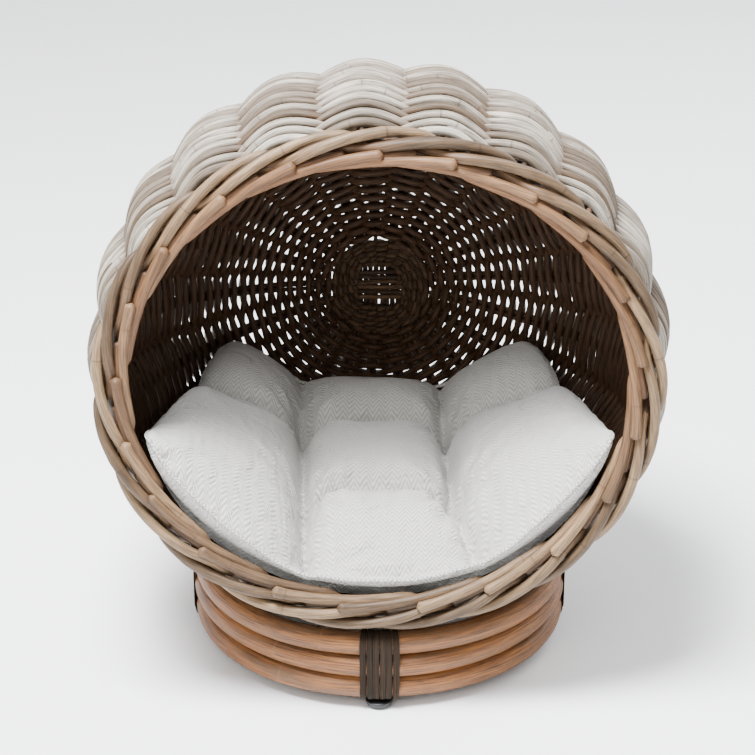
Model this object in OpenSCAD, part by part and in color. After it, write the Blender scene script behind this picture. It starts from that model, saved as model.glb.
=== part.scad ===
// Wicker pet bed basket: a round woven cave lying on a ring of bent rattan poles, with a loose cushion.
// Millimetres. +Z is up, the mouth faces -Y, and the feet stand on z = 0.

/* [Basket] */
// Half-width of the woven wall, at the middle of its stakes
wall_half_w = 236; // [228:1:240]
// Half-height of the woven wall, at the middle of its stakes
wall_half_h = 232; // [226:1:236]
// Distance from the widest part of the wall to the woven centre at the back
wall_back = 209; // [180:1:215]
// Distance from the widest part of the wall to the middle of the mouth border
mouth_depth = 128; // [110:1:140]
// Upward tilt of the basket's axis, in degrees
tilt = 8; // [4:1:10]
// Height of the basket's centre above the floor
basket_z = 266; // [264:1:275]
// Number of stakes, which is odd so that one weaver can go over and under all the way round
stake_count = 21; // [21]
// Thickness of a stake, which is a bundle of two or three rods
stake_d = 11; // [8:0.5:11.5]

/* [Border] */
// Width of the rolled border across the rim
border_w = 33; // [26:1:34]
// Thickness of the rolled border along the basket's axis
border_t = 25; // [20:1:27]

/* [Base ring] */
// Radius of the ring, to the middle of its poles
ring_r = 154; // [150:1:158]
// Diameter of a rattan pole
pole_d = 20.4; // [18:0.2:20.8]
// Distance of the ring's centre behind the middle of the whole object
ring_y = -26.5; // [-35:0.5:-20]
// Height of a foot glide
glide_h = 6.4; // [5:0.2:8]
// Diameter of a foot glide
glide_d = 23; // [18:1:26]
// Width of a cane binding along the ring
binding_w = 30; // [20:1:34]
// Thickness of a cane binding
binding_t = 1.6; // [1:0.1:2]

/* [Cushion] */
// Half-width of the cushion at its middle
cushion_half_w = 178; // [160:1:180]
// Half-depth of the cushion from front to back
cushion_half_d = 146; // [130:1:148]
// Height of the cushion's top at its middle
cushion_top_z = 172; // [160:1:176]
// Rise of the cushion's top from its middle to its sides
cushion_curl = 84; // [50:1:86]
// Drop of the cushion's top from its middle to its front edge
cushion_dip = 62; // [40:1:66]

/* [Hidden] */
gap = 0.3;                                // clearance between pieces that lie against each other
pole_r = pole_d / 2;
snug = 0.05;                              // clearance of a binding round its poles
pole_pitch = pole_d + 2 * snug;
ring_foot_z = glide_h + binding_t;        // lowest point of the lowest pole
basket_y = ring_y - 2.5;                  // the widest part stands nearly over the ring's centre
flare = 317;                              // the wall's front half stays wider across than up and down
mouth_half_w = 216;                       // the mouth is an oval, measured to the border's middle
mouth_half_h = 195;
wall_end = mouth_depth - border_t / 2 - gap;    // depth at which the weaving stops under the border
weave_in = 6.1;                           // the weavers' skin, measured outwards from the stakes' middle
weave_out = 11.4;
band_count = 7;
band_rows = 3;                            // facets along one band
around = 2 * stake_count;                 // facets round the wall
first_stake = 76.3;                       // angle of the first stake round the axis; the rest go clockwise
stake_rings = 11;
stake_sides = 8;
border_sides = 10;
hub_r = 44;                               // radius of the woven centre
hub_share = asin(hub_r / wall_half_h) / acos(-wall_end / wall_half_h);
stick_d = 4.5;
stick_pitch = 4.7;
nail_d = 2.2;
nail_len = 19;
nail_sink = 1.2;                          // the nail's head lies this far above the tread
cushion_steps = 9;
edge_power = 14;                          // a larger power gives the cushion a squarer edge
cushion_sides = 32;
cover_t = 1.5;
cushion_y = ring_y - 3;
tuft_x = 66;                              // the tufts divide the pad into three by three
tuft_y = 66;
lift_off_floor = 13.5;                    // cushion's underside above the middle of the stakes

// ---- The basket's own frame: x across, y up the rim, z along the axis and out of the mouth ----

module basket_frame() translate([0, basket_y, basket_z]) rotate([90 - tilt, 0, 0]) children();

function to_world(p) = [
    p[0],
    basket_y + p[1] * sin(tilt) - p[2] * cos(tilt),
    basket_z + p[1] * cos(tilt) + p[2] * sin(tilt)];

// Share of the full width and height that the wall has at depth a, out being its offset from the stakes
function share_across(a, out) = a < 0
    ? sqrt(max(0, 1 - pow(a / (wall_back + out), 2)))
    : sqrt(1 - pow(a / (flare + out), 2));
function share_up(a, out) = a < 0
    ? sqrt(max(0, 1 - pow(a / (wall_back + out), 2)))
    : sqrt(1 - pow(a / (wall_half_h + out), 2));

// A point of the wall: s runs from 0 at the back centre to 1 at the mouth, th goes round, out is outwards
function wall_point(s, th, out) =
    let (phi = s * acos(-wall_end / (wall_half_h + out)),
         a = -cos(phi) * (phi < 90 ? wall_back + out : wall_half_h + out))
    [(wall_half_w + out) * share_across(a, out) * cos(th),
     (wall_half_h + out) * share_up(a, out) * sin(th), a];

// ---- Solids made of rings of points ----

// Two triangles for each cell of a grid of rings, each ring closed on itself
function cell_faces(rings, sides, closed) = [
    for (i = [0 : (closed ? rings : rings - 1) - 1], j = [0 : sides - 1])
        let (a = i * sides + j, b = i * sides + (j + 1) % sides,
             c = ((i + 1) % rings) * sides + (j + 1) % sides, d = ((i + 1) % rings) * sides + j)
        each [[a, b, c], [a, c, d]]];

function flat(rings) = [for (ring = rings) each ring];

// A closed loop of rings, like a tyre
module looped(rings) polyhedron(flat(rings), cell_faces(len(rings), len(rings[0]), true));

// A rod of rings with a flat cap at each end
module capped(rings) {
    sides = len(rings[0]);
    last = (len(rings) - 1) * sides;
    polyhedron(flat(rings), concat(
        cell_faces(len(rings), sides, false),
        [[for (j = [sides - 1 : -1 : 0]) j]],
        [[for (j = [0 : sides - 1]) last + j]]));
}

// ---- Base ring: three bent poles, four cane bindings and four nailed glides ----

module pole(level) {
    color("burlywood") translate([0, ring_y, ring_foot_z + pole_r + level * pole_pitch])
        rotate_extrude($fn = 96) translate([ring_r, 0]) circle(r = pole_r, $fn = 32);
}

// A flattened loop that goes round all three poles
module binding_loop(reach) {
    low = ring_foot_z + pole_r;
    high = low + 2 * pole_pitch;
    translate([ring_r, 0]) {
        translate([0, low]) circle(r = reach, $fn = 32);
        translate([0, high]) circle(r = reach, $fn = 32);
        translate([-reach, low]) square([2 * reach, high - low]);
    }
}

module binding(turn) {
    spread = 2 * asin(binding_w / 2 / ring_r);
    color("dimgray") translate([0, ring_y, 0]) rotate([0, 0, turn - spread / 2])
        rotate_extrude(angle = spread, $fn = 96) difference() {
            binding_loop(pole_r + binding_t);
            binding_loop(pole_r + snug);
        }
}

module at_foot(turn) translate([0, ring_y, 0]) rotate([0, 0, turn]) translate([ring_r, 0, 0]) children();

// A domed plastic foot: a small flat tread, a sloping flank, an upright rim, and a bore for the nail
module glide(turn) {
    tread_r = glide_d * 0.3;
    rim_r = glide_d / 2;
    rim_z = glide_h * 0.7;
    flank = [rim_r - 0.8, rim_z * 0.45];
    top = glide_h - gap;
    bore_r = nail_d / 2 + 2 * snug;
    color("black") at_foot(turn) rotate_extrude($fn = 48)
        polygon([[bore_r, 0], [tread_r, 0], flank, [rim_r, rim_z], [rim_r, top], [bore_r, top]]);
}

module glide_nails() {
    color("silver") for (turn = [-90, 0, 90, 180]) at_foot(turn) {
        translate([0, 0, nail_sink]) cylinder(d = nail_d, h = nail_len, $fn = 24);
    }
}

// ---- Woven centre: sticks laid across sticks, bound by rounds of pairing ----

module slath_across() {
    half = 33;
    color("saddlebrown") basket_frame() for (i = [0 : 5])
        translate([-half, (i - 2.5) * stick_pitch, -wall_back + stick_pitch / 2])
            rotate([0, 90, 0]) cylinder(d = stick_d, h = 2 * half, $fn = 24);
}

module slath_upright() {
    half = 30;
    split = 3;      // the two groups of uprights stand a little apart
    color("saddlebrown") basket_frame() for (side = [-1, 1], i = [0 : 3])
        translate([side * (split + i * stick_pitch), half, -wall_back - stick_pitch / 2])
            rotate([90, 0, 0]) cylinder(d = stick_d, h = 2 * half, $fn = 24);
}

module slath_pairing() {
    width = 5.5;        // the rounds' width, outwards from the sticks
    clear = 1;          // space left before the first row of the wall
    front = 6;          // how far the rounds stand inside the basket
    color("sienna") basket_frame() translate([0, 0, -wall_back]) rotate_extrude($fn = 72)
        translate([hub_r - clear - width, -weave_out]) square([width, weave_out + front]);
}

// ---- Stakes: bundles of rods that run from the woven centre to the border ----

module stake(number) {
    th = first_stake - (number - 1) * 360 / stake_count;
    start = hub_share * 1.04;       // just outside the pairing
    rings = [for (i = [0 : stake_rings - 1])
        let (s = start + (1 - start) * i / (stake_rings - 1),
             mid = wall_point(s, th, 0), reach = norm([mid[0], mid[1]]))
        [for (j = [0 : stake_sides - 1])
            let (k = j * 360 / stake_sides)
            to_world(wall_point(s, th + stake_d / 2 * cos(k) / reach * 180 / PI, stake_d / 2 * sin(k)))]];
    color("peru") capped(rings);
}

// ---- Woven wall: rows of weavers, taken together as bands of one closed skin ----

module weave_band(number) {
    from = hub_share + (1 - hub_share) * (number - 1) / band_count;
    to = hub_share + (1 - hub_share) * number / band_count;
    color("tan") looped([for (i = [0 : around - 1])
        let (th = first_stake + i * 360 / around)
        concat(
            [for (j = [0 : band_rows])
                to_world(wall_point(from + (to - from) * j / band_rows, th, weave_out))],
            [for (j = [band_rows : -1 : 0])
                to_world(wall_point(from + (to - from) * j / band_rows, th, weave_in))])]);
}

// ---- Border: the stakes' ends rolled over one another round the mouth ----

module border() {
    color("rosybrown") looped([for (i = [0 : around - 1])
        let (th = i * 360 / around)
        [for (j = [0 : border_sides - 1])
            let (k = j * 360 / border_sides)
            to_world([(mouth_half_w + border_w / 2 * cos(k)) * cos(th),
                      (mouth_half_h + border_w / 2 * cos(k)) * sin(th),
                      mouth_depth + border_t / 2 * sin(k)])]]);
}

// ---- Cushion: a square pad pressed down into the bowl, with its corners turned up ----

// True where a point is inside the wall by at least the given distance
function inside_wall(x, y, z, clear) =
    let (dy = y - basket_y, dz = z - basket_z,
         up = dy * sin(tilt) + dz * cos(tilt), a = -dy * cos(tilt) + dz * sin(tilt),
         reach = min(a, mouth_depth))
    pow(x / ((wall_half_w - clear) * share_across(reach, -clear)), 2)
    + pow(up / ((wall_half_h - clear) * share_up(reach, -clear)), 2) < 1;

// Height at which a plumb line meets the bowl of the wall, by halving the interval
function bowl_z(x, y, clear, low = 20, high = 262, turns = 16) = turns == 0 ? high
    : inside_wall(x, y, (low + high) / 2, clear)
        ? bowl_z(x, y, clear, low, (low + high) / 2, turns - 1)
        : bowl_z(x, y, clear, (low + high) / 2, high, turns - 1);

// A square with rounded corners, wider in front than behind
function cushion_plan(r, turn, inset) =
    let (c = cos(turn), s = sin(turn), round = 0.24, taper = 25, waist = 13,
         u = r * sign(c) * pow(abs(c), round), v = r * sign(s) * pow(abs(s), round))
    [u * (cushion_half_w - taper * v - waist * v * v - inset), v * (cushion_half_d - inset)];

// Height of the pad's top: it curls up to both sides, dips in front and rises a little behind
function cushion_crown(x, y) =
    let (curl_half_w = 190, dip_from = 50, dip_to = 146, rise_from = 40, rise_run = 105, rise = 12,
         side = pow(x / curl_half_w, 2),
         front = pow(max(0, min(1, (-y - dip_from) / (dip_to - dip_from))), 1.5),
         back = pow(max(0, (y - rise_from) / rise_run), 2))
    cushion_top_z + cushion_curl * side - cushion_dip * front * max(0, 1 - side) + rise * back;

// One ring of the pad: level runs from 1 at the middle of the top, over the edge, to -1 underneath
function cushion_ring(level, inset) =
    let (r = 1 - abs(level), puff = sqrt(1 - pow(r, edge_power)), thinnest = 3)
    [for (j = [0 : cushion_sides - 1])
        let (p = cushion_plan(r, (j + 0.5) * 360 / cushion_sides, inset),
             high = cushion_crown(p[0], p[1]) - inset,
             low = bowl_z(p[0], p[1] + cushion_y, lift_off_floor) + inset,
             mid = (high + low) / 2, half = max(thinnest, (high - low) / 2) * puff)
        [p[0], p[1] + cushion_y, mid + sign(level) * half]];

module cushion_pad(inset)
    capped([for (i = [1 : 2 * cushion_steps - 1]) cushion_ring(1 - i / cushion_steps, inset)]);

module cushion_cover() {
    color("ivory") difference() {
        cushion_pad(0);
        cushion_pad(cover_t);
    }
}

module cushion_fill() color("white") cushion_pad(cover_t + gap);

// Threads that pull the pad in at four points
module cushion_ties() {
    inset = 1;
    thread_d = 2;
    color("linen") for (x = [-tuft_x, tuft_x], y = [-tuft_y, tuft_y]) {
        low = bowl_z(x, y + cushion_y, lift_off_floor) + inset;
        translate([x, y + cushion_y, low])
            cylinder(d = thread_d, h = cushion_crown(x, y) - inset - low, $fn = 24);
    }
}

pole(0);  // pole_lower
pole(1);  // pole_middle
pole(2);  // pole_upper
binding(-90);  // binding_front
binding(0);  // binding_right
binding(90);  // binding_back
binding(180);  // binding_left
glide(-90);  // glide_front
glide(0);  // glide_right
glide(90);  // glide_back
glide(180);  // glide_left
glide_nails();
slath_across();
slath_upright();
slath_pairing();
stake(1);  // stake_01
stake(2);  // stake_02
stake(3);  // stake_03
stake(4);  // stake_04
stake(5);  // stake_05
stake(6);  // stake_06
stake(7);  // stake_07
stake(8);  // stake_08
stake(9);  // stake_09
stake(10);  // stake_10
stake(11);  // stake_11
stake(12);  // stake_12
stake(13);  // stake_13
stake(14);  // stake_14
stake(15);  // stake_15
stake(16);  // stake_16
stake(17);  // stake_17
stake(18);  // stake_18
stake(19);  // stake_19
stake(20);  // stake_20
stake(21);  // stake_21
weave_band(1);  // weave_band_1
weave_band(2);  // weave_band_2
weave_band(3);  // weave_band_3
weave_band(4);  // weave_band_4
weave_band(5);  // weave_band_5
weave_band(6);  // weave_band_6
weave_band(7);  // weave_band_7
border();
cushion_cover();
cushion_fill();
cushion_ties();
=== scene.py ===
"""Wicker pet bed basket: a woven cave on a ring of bent rattan poles, with a loose tufted cushion.

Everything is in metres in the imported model's own frame: +Z up, the mouth faces -Y.
"""
import math

import bpy
import numpy as np
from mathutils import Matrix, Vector


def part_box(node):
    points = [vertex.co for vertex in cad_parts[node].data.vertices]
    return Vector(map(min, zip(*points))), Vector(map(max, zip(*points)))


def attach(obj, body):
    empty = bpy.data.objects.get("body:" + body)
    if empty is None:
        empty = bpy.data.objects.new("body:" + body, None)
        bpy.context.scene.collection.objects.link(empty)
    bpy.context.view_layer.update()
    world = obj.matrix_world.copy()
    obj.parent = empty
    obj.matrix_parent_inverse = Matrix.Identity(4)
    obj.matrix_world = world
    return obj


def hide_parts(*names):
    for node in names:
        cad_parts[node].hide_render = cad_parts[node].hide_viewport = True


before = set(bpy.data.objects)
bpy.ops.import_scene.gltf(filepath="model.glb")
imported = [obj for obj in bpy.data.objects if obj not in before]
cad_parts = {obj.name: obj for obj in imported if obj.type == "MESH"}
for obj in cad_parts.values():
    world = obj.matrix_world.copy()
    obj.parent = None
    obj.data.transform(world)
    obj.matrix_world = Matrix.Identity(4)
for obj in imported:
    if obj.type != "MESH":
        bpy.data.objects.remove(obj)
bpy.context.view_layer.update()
rng = np.random.default_rng(21)


# ---------------------------------------------------------------------------------------------
# Camera, floor and light. A long lens looks a little down into the mouth. The floor is plain and
# pale, and broad soft lamps hang above and in front, as in a small product studio.
# ---------------------------------------------------------------------------------------------
ring_lo, ring_hi = (np.array(corner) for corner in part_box("pole_lower"))
ring_centre = (ring_lo + ring_hi) / 2

look_at = Vector((-0.0014, ring_centre[1], 0.2327))
camera_distance = 2.07
camera_rise = math.radians(24.4)
camera_data = bpy.data.cameras.new("camera")
camera_data.sensor_width = 36.0
camera_data.lens = 114.4
camera = bpy.data.objects.new("camera", camera_data)
camera.location = look_at + camera_distance * Vector((0, -math.cos(camera_rise), math.sin(camera_rise)))
camera.rotation_euler = (look_at - camera.location).to_track_quat("-Z", "Y").to_euler()
bpy.context.collection.objects.link(camera)
bpy.context.scene.camera = camera


def to_linear(code):
    """A six-digit sRGB hex colour as linear red, green, blue and alpha."""
    part = np.array([int(code[i:i + 2], 16) for i in (0, 2, 4)]) / 255.0
    linear = np.where(part <= 0.04045, part / 12.92, ((part + 0.055) / 1.055) ** 2.4)
    return (*(float(v) for v in linear), 1.0)


def add(tree, kind, inputs=None, **settings):
    """Adds one shader node. inputs maps a socket's name or number to a value or to an output socket."""
    node = tree.nodes.new(kind)
    for name, value in settings.items():
        setattr(node, name, value)
    for key, value in (inputs or {}).items():
        if isinstance(value, bpy.types.NodeSocket):
            tree.links.new(value, node.inputs[key])
        else:
            node.inputs[key].default_value = value
    return node


def new_material(name, shader_inputs):
    """A material with one Principled shader, returned with its node tree and shader."""
    material = bpy.data.materials.new(name)
    material.use_nodes = True
    tree = material.node_tree
    shader = tree.nodes["Principled BSDF"]
    for key, value in shader_inputs.items():
        shader.inputs[key].default_value = value
    return material, tree, shader


floor_half = 6.0
floor_mesh = bpy.data.meshes.new("floor")
floor_mesh.from_pydata(
    [(-floor_half, -floor_half, 0), (floor_half, -floor_half, 0),
     (floor_half, floor_half, 0), (-floor_half, floor_half, 0)], [], [(0, 1, 2, 3)])
floor = bpy.data.objects.new("floor", floor_mesh)
bpy.context.collection.objects.link(floor)
floor_paint, _, _ = new_material("floor_paint", {"Base Color": to_linear("FBFBFB"), "Roughness": 0.9})
floor_mesh.materials.append(floor_paint)

world = bpy.data.worlds.new("studio")
world.use_nodes = True
world.node_tree.nodes["Background"].inputs["Color"].default_value = to_linear("FBFCFD")
world.node_tree.nodes["Background"].inputs["Strength"].default_value = 1.05
bpy.context.scene.world = world


def soft_lamp(name, place, aim, size, power, tint):
    """A square area lamp at place that points at aim."""
    data = bpy.data.lights.new(name, "AREA")
    data.shape = "SQUARE"
    data.size = size
    data.energy = power
    data.color = to_linear(tint)[:3]
    lamp = bpy.data.objects.new(name, data)
    lamp.location = place
    lamp.rotation_euler = (Vector(aim) - Vector(place)).to_track_quat("-Z", "Y").to_euler()
    bpy.context.collection.objects.link(lamp)


soft_lamp("overhead", (-0.45, -0.50, 2.2), (0, 0, 0.3), 0.8, 230, "F8FAFF")
soft_lamp("front_left", (-1.1, -2.0, 1.5), (0, 0, 0.25), 1.0, 16, "FFFDF8")
soft_lamp("back_right", (1.3, 1.4, 1.4), (0, 0, 0.3), 1.2, 34, "F6FAFF")


# ---------------------------------------------------------------------------------------------
# Woven centre, where a basket is begun: six sticks laid across eight, which stand in two groups of
# four. Rounds of pairing bind them: two thin rods twine over and under before the stakes spread.
# Every rod of the basket follows one form, a bowl that lies on its side, so it is worked out here.
# ---------------------------------------------------------------------------------------------
border_lo, border_hi = (np.array(corner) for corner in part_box("border"))
hub_lo, hub_hi = (np.array(corner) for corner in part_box("slath_pairing"))
border_centre = (border_lo + border_hi) / 2
hub_centre = (hub_lo + hub_hi) / 2
axis = (border_centre - hub_centre) / np.linalg.norm(border_centre - hub_centre)
across = np.array([1.0, 0.0, 0.0])
upward = np.cross(axis, across)

mouth_depth = 0.128                # from the widest part to the middle of the border
basket_centre = border_centre - mouth_depth * axis
hub_sink = 0.0027                  # the hub's box lies this far behind the middle of the stakes
wall_back = np.linalg.norm(hub_centre - basket_centre) - hub_sink
half_w, half_h, flare = 0.236, 0.232, 0.317
wall_end = 0.1152                  # depth at which the weaving stops under the border
stake_count = 21
first_stake = math.radians(76.3)
interval = 2 * math.pi / stake_count
hub_r = 0.044


def in_world(x, y, a):
    """Points given in the basket's own axes, as an array whose last axis is x, y, z."""
    return (basket_centre + x[..., None] * across + y[..., None] * upward + a[..., None] * axis)


def wall(s, turn, out):
    """The wall's surface. Behind the widest part it is half an ellipsoid; before it, the height follows
    a circle and the width a flatter ellipse. s goes from 0 at the back to 1 at the mouth, turn is the
    angle round the axis in radians, and out is the distance outwards from the middle of the stakes."""
    s, turn, out = np.broadcast_arrays(s, turn, out)
    phi = s * np.arccos(-wall_end / (half_h + out))
    behind = phi < np.pi / 2
    a = -np.cos(phi) * np.where(behind, wall_back + out, half_h + out)
    back_share = np.sqrt(np.clip(1 - (a / (wall_back + out)) ** 2, 0, 1))
    wide = np.where(behind, back_share, np.sqrt(np.clip(1 - (a / (flare + out)) ** 2, 0, 1)))
    tall = np.where(behind, back_share, np.sqrt(np.clip(1 - (a / (half_h + out)) ** 2, 0, 1)))
    return in_world((half_w + out) * wide * np.cos(turn), (half_h + out) * tall * np.sin(turn), a)


def wall_normal(s, turn):
    """The outward direction of the wall, from two surfaces either side of the stakes."""
    step = 0.002
    n = wall(s, turn, step) - wall(s, turn, -step)
    return n / np.linalg.norm(n, axis=-1, keepdims=True)


hub_share = math.asin(hub_r / half_h) / math.acos(-wall_end / half_h)


def sweep(path, radius, facing, sides):
    """Round rods. path has shape (rods, points, 3), radius (rods, points) and facing (rods, points, 3).
    Each ring is a circle across the path, started from facing, which points out of the basket."""
    along = np.gradient(path, axis=1)
    along /= np.linalg.norm(along, axis=-1, keepdims=True)
    side = np.cross(along, facing)
    side /= np.linalg.norm(side, axis=-1, keepdims=True)
    outward = np.cross(side, along)
    angle = np.arange(sides) * 2 * np.pi / sides
    ring = (np.cos(angle)[:, None] * outward[:, :, None] + np.sin(angle)[:, None] * side[:, :, None])
    return path[:, :, None] + radius[:, :, None, None] * ring


def run_length(path):
    """Distance along each rod to each of its points, as the running sum of the steps between them."""
    step = np.linalg.norm(np.diff(path, axis=1), axis=-1)
    return np.concatenate([np.zeros((len(path), 1)), np.cumsum(step, axis=1)], axis=1)


def rod_mesh(name, rings, length, tint, shade=None):
    """One mesh from rings of shape (rods, points, sides, 3): quads along each rod and a flat cap at each
    end. The UV map holds metres along the rod and the share of the way round it. tint is one random number
    for each rod, and shade is 1 where a point takes the material's inner colour, which is partly painted
    shade."""
    rods, points, sides = rings.shape[:3]
    index = np.arange(rods * points * sides).reshape(rods, points, sides)
    turned = np.roll(index, -1, axis=2)
    quads = np.stack([index[:, :-1], index[:, 1:], turned[:, 1:], turned[:, :-1]], -1).reshape(-1, 4)
    caps = np.concatenate([index[:, 0, :], index[:, -1, ::-1]])
    corner = np.concatenate([quads.ravel(), caps.ravel()])
    sizes = np.concatenate([np.full(len(quads), 4), np.full(len(caps), sides)])
    mesh = bpy.data.meshes.new(name)
    mesh.vertices.add(rods * points * sides)
    mesh.vertices.foreach_set("co", rings.reshape(-1).astype(np.float32))
    mesh.loops.add(len(corner))
    mesh.loops.foreach_set("vertex_index", corner.astype(np.int32))
    mesh.polygons.add(len(sizes))
    mesh.polygons.foreach_set("loop_start", (np.cumsum(sizes) - sizes).astype(np.int32))
    mesh.polygons.foreach_set("use_smooth", np.ones(len(sizes), dtype=bool))
    u = np.broadcast_to(length[:, :, None], rings.shape[:3]).reshape(-1)
    v = np.broadcast_to(np.arange(sides) / sides, rings.shape[:3]).reshape(-1)
    uv = np.stack([u[corner], v[corner]], -1)
    last_column = quads[:, 0] % sides == sides - 1
    wrapped = np.zeros((len(quads), 4), dtype=bool)
    wrapped[last_column, 2:] = True
    uv[:len(quads) * 4, 1] += wrapped.reshape(-1)
    layer = mesh.uv_layers.new(name="rod_length")
    layer.data.foreach_set("uv", uv.reshape(-1).astype(np.float32))
    point_tint = np.broadcast_to(tint[:, None, None], rings.shape[:3]).reshape(-1)
    mesh.attributes.new("tint", "FLOAT", "POINT").data.foreach_set("value", point_tint.astype(np.float32))
    if shade is not None:
        mesh.attributes.new("shade", "FLOAT", "POINT").data.foreach_set(
            "value", shade.reshape(-1).astype(np.float32))
    mesh.update()
    mesh.validate()
    piece = bpy.data.objects.new(name, mesh)
    bpy.context.collection.objects.link(piece)
    return piece


def rod_coordinates(tree, apart):
    """Places on a rod: the metres along it, moved on by apart times its tint so that no two rods match,
    with the sine and cosine of the way round. Returned with that length and the tint."""
    uv = add(tree, "ShaderNodeUVMap", uv_map="rod_length").outputs["UV"]
    tint = add(tree, "ShaderNodeAttribute", attribute_name="tint").outputs["Fac"]
    split = add(tree, "ShaderNodeSeparateXYZ", {0: uv})
    shift = add(tree, "ShaderNodeMath", {0: tint, 1: apart}, operation="MULTIPLY").outputs[0]
    length = add(tree, "ShaderNodeMath", {0: split.outputs[0], 1: shift}).outputs[0]
    angle = add(tree, "ShaderNodeMath", {0: split.outputs[1], 1: 2 * math.pi}, operation="MULTIPLY")
    sine = add(tree, "ShaderNodeMath", {0: angle.outputs[0]}, operation="SINE").outputs[0]
    cosine = add(tree, "ShaderNodeMath", {0: angle.outputs[0]}, operation="COSINE").outputs[0]
    around = add(tree, "ShaderNodeCombineXYZ", {0: length, 1: sine, 2: cosine}).outputs[0]
    return around, length, tint


def wicker(name, outer, inner, worn, knot_gap, rough):
    """Round wicker rod. outer holds three hex colours, from dark to light, for the face that was washed and
    weathered; inner is the colour that the shade attribute mixes in, which is partly painted shade: on the
    woven wall it is the unwashed inner face darkened with painted shade, and on the border it is a warm tan
    painted on the side of the rim turned from the sky light; worn is the dirt in its pores.
    Fine grain runs along the rod, broad stains lie across several rods, and a ring marks each knuckle."""
    material, tree, shader = new_material(name, {"Roughness": rough, "Specular IOR Level": 0.28})
    around, length, tint = rod_coordinates(tree, 37.0)
    shade = add(tree, "ShaderNodeAttribute", attribute_name="shade").outputs["Fac"]
    # Grain: fibres about 0.6 mm wide and 25 mm long
    stretched = add(tree, "ShaderNodeVectorMath", {0: around, 1: (40.0, 4.2, 4.2)}, operation="MULTIPLY")
    grain = add(tree, "ShaderNodeTexNoise", {"Vector": stretched.outputs[0], "Scale": 1.0, "Detail": 5.0,
                                             "Roughness": 0.65}).outputs["Fac"]
    # Stains: 15 to 40 mm patches where the wash took unevenly
    patch_at = add(tree, "ShaderNodeVectorMath", {0: around, 1: (24.0, 0.6, 0.6)}, operation="MULTIPLY")
    patches = add(tree, "ShaderNodeTexNoise", {"Vector": patch_at.outputs[0], "Scale": 1.0, "Detail": 4.0,
                                               "Roughness": 0.6}).outputs["Fac"]
    ramp = add(tree, "ShaderNodeValToRGB", {0: tint})
    ramp.color_ramp.elements[0].color = to_linear(outer[0])
    ramp.color_ramp.elements[1].color = to_linear(outer[2])
    ramp.color_ramp.elements.new(0.5).color = to_linear(outer[1])
    grain_dark = add(tree, "ShaderNodeMapRange", {0: grain, 1: 0.41, 2: 0.60, 3: 0.50, 4: 1.14}).outputs[0]
    grained = add(tree, "ShaderNodeMix", {0: 1.0, 6: ramp.outputs[0], 7: grain_dark},
                  data_type="RGBA", blend_type="MULTIPLY").outputs[2]
    stain = add(tree, "ShaderNodeMapRange", {0: patches, 1: 0.53, 2: 0.72, 3: 0.0, 4: 0.75}).outputs[0]
    stained = add(tree, "ShaderNodeMix", {0: stain, 6: grained, 7: to_linear(worn)},
                  data_type="RGBA").outputs[2]
    # Knuckles: a dark line round the rod every knot_gap metres
    cycle = add(tree, "ShaderNodeMath", {0: length, 1: knot_gap}, operation="MODULO").outputs[0]
    knot = add(tree, "ShaderNodeMapRange", {0: cycle, 1: 0.0, 2: 0.0022, 3: 1.0, 4: 0.0}).outputs[0]
    knot_line = add(tree, "ShaderNodeMath", {0: knot, 1: 0.6}, operation="MULTIPLY").outputs[0]
    marked = add(tree, "ShaderNodeMix", {0: knot_line, 6: stained, 7: to_linear(worn)},
                 data_type="RGBA").outputs[2]
    # Painted shade: where the shade attribute is 1 the rod takes the inner colour, partly its own inner tone
    # and partly painted shade.
    inner_grained = add(tree, "ShaderNodeMix", {0: 1.0, 6: to_linear(inner), 7: grain_dark},
                        data_type="RGBA", blend_type="MULTIPLY").outputs[2]
    faced = add(tree, "ShaderNodeMix", {0: shade, 6: marked, 7: inner_grained}, data_type="RGBA").outputs[2]
    tree.links.new(faced, shader.inputs["Base Color"])
    groove = add(tree, "ShaderNodeMath", {0: knot, 1: -0.8}, operation="MULTIPLY").outputs[0]
    height = add(tree, "ShaderNodeMath", {0: grain, 1: groove}).outputs[0]
    bump = add(tree, "ShaderNodeBump", {"Height": height, "Strength": 0.45, "Distance": 0.0006})
    tree.links.new(bump.outputs[0], shader.inputs["Normal"])
    return material


raw_wicker = wicker("raw_wicker", ("38271A", "4C3826", "634A32"), "45321F", "261B12", 0.191, 0.68)

stick_r = 0.00238
stick_pitch = 0.0047


def sticks(names, offsets, half_length, level, along_x):
    """Straight sticks side by side. Their ends curve back by the square of the distance from the middle."""
    count, points = len(offsets), 15
    t = np.linspace(-1, 1, points)[None]
    bend = 0.0015 * t ** 2
    spread = offsets[:, None] * (1 + 0.08 * np.abs(t) ** 3)
    wander = 0.0004 * np.sin(t * 3 + rng.uniform(0, 6, (count, 1)))
    a = np.full((count, points), -wall_back + level) + bend
    run = np.broadcast_to(t * half_length, a.shape)
    path = in_world(run, spread + wander, a) if along_x else in_world(spread + wander, run, a)
    radius = np.broadcast_to(stick_r * rng.uniform(0.92, 1.06, (count, 1)), a.shape)
    rings = sweep(path, radius, np.broadcast_to(-axis, path.shape), 8)
    piece = rod_mesh(names[0], rings, run + half_length, rng.uniform(0, 1, count))
    piece.data.materials.append(raw_wicker)
    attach(piece, "basket")
    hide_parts(names[1])


stick_half_length = 0.027
sticks(("slath_sticks_across", "slath_across"), (np.arange(6) - 2.5) * stick_pitch, stick_half_length,
       stick_pitch / 2, True)
upright_side = 0.003 + np.arange(4) * stick_pitch
sticks(("slath_sticks_upright", "slath_upright"), np.concatenate([-upright_side, upright_side]),
       stick_half_length, -stick_pitch / 2, False)


pairing_r = 0.0026


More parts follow.
